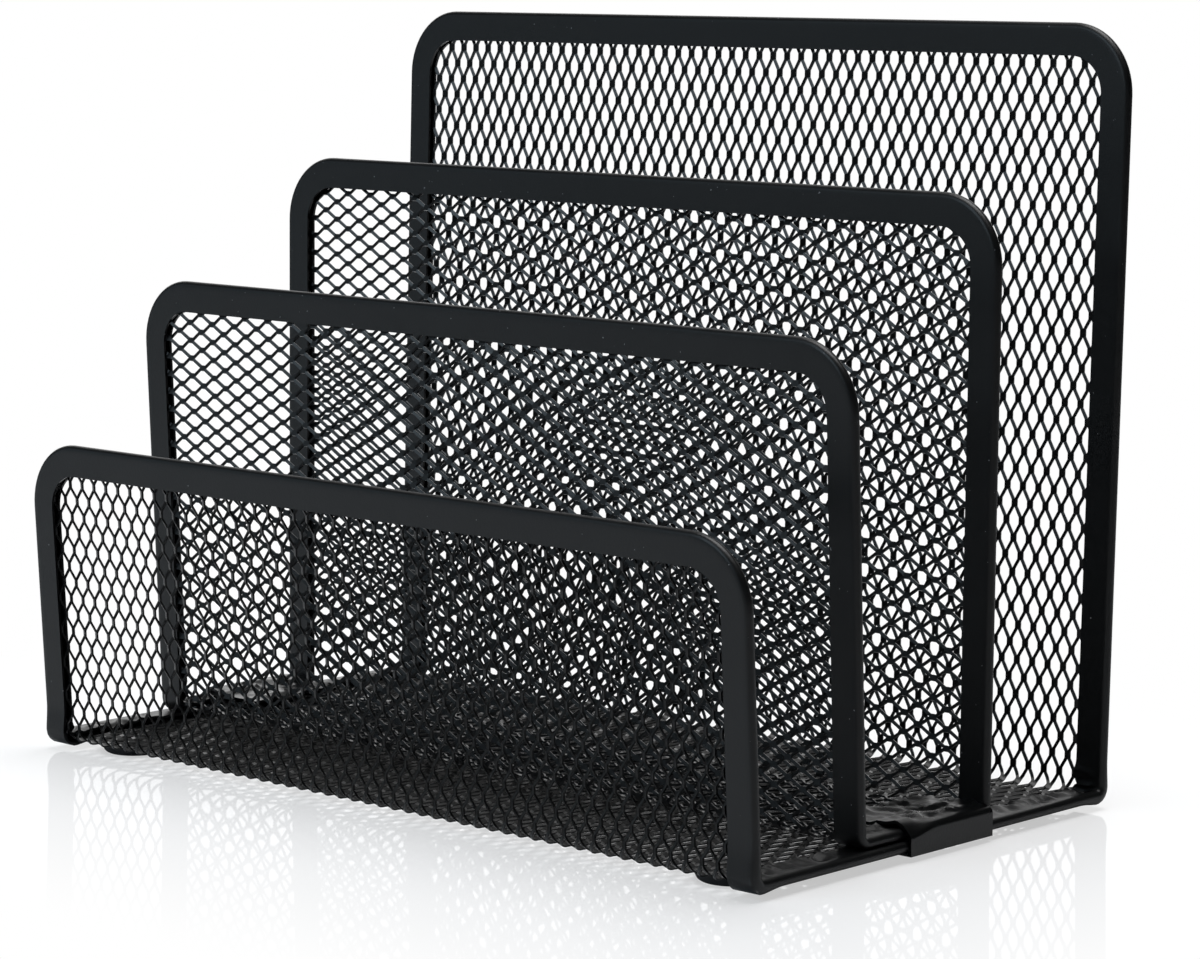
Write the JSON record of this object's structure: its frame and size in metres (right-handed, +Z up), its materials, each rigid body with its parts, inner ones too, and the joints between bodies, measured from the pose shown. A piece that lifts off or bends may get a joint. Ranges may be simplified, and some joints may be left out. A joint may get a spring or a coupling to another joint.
{
  "type": "mesh desk organizer",
  "caption": "Free-standing desk letter sorter of black expanded steel mesh with folded rims, its upright panels stepping up towards the back to form open slots.",
  "frame": {"origin": "middle of the footprint on the surface that the pads stand on", "axes": "+Z up, -Y towards the low front panel, +X to the right as seen from the front"},
  "size_m": [0.173, 0.0988, 0.1331],
  "materials": {
    "rim_steel": "satin black powder coat",
    "mesh_steel": "satin black powder coat",
    "clip_steel": "satin black powder coat, creased",
    "pad_rubber": "matte black rubber"
  },
  "bodies": {
    "root": {"front_rim": "rim_steel", "second_rim": "rim_steel", "third_rim": "rim_steel", "back_rim": "rim_steel", "outer_base_rim_left": "rim_steel", "outer_base_rim_right": "rim_steel", "inner_base_rim_left": "rim_steel", "inner_base_rim_right": "rim_steel", "front_mesh": "mesh_steel", "second_mesh": "mesh_steel", "third_mesh": "mesh_steel", "back_mesh": "mesh_steel", "outer_base_mesh": "mesh_steel", "inner_base_mesh": "mesh_steel", "clip_left": "clip_steel", "clip_right": "clip_steel", "foot_front_left": "pad_rubber", "foot_front_right": "pad_rubber", "foot_back_left": "pad_rubber", "foot_back_right": "pad_rubber"}
  },
  "joints": []
}
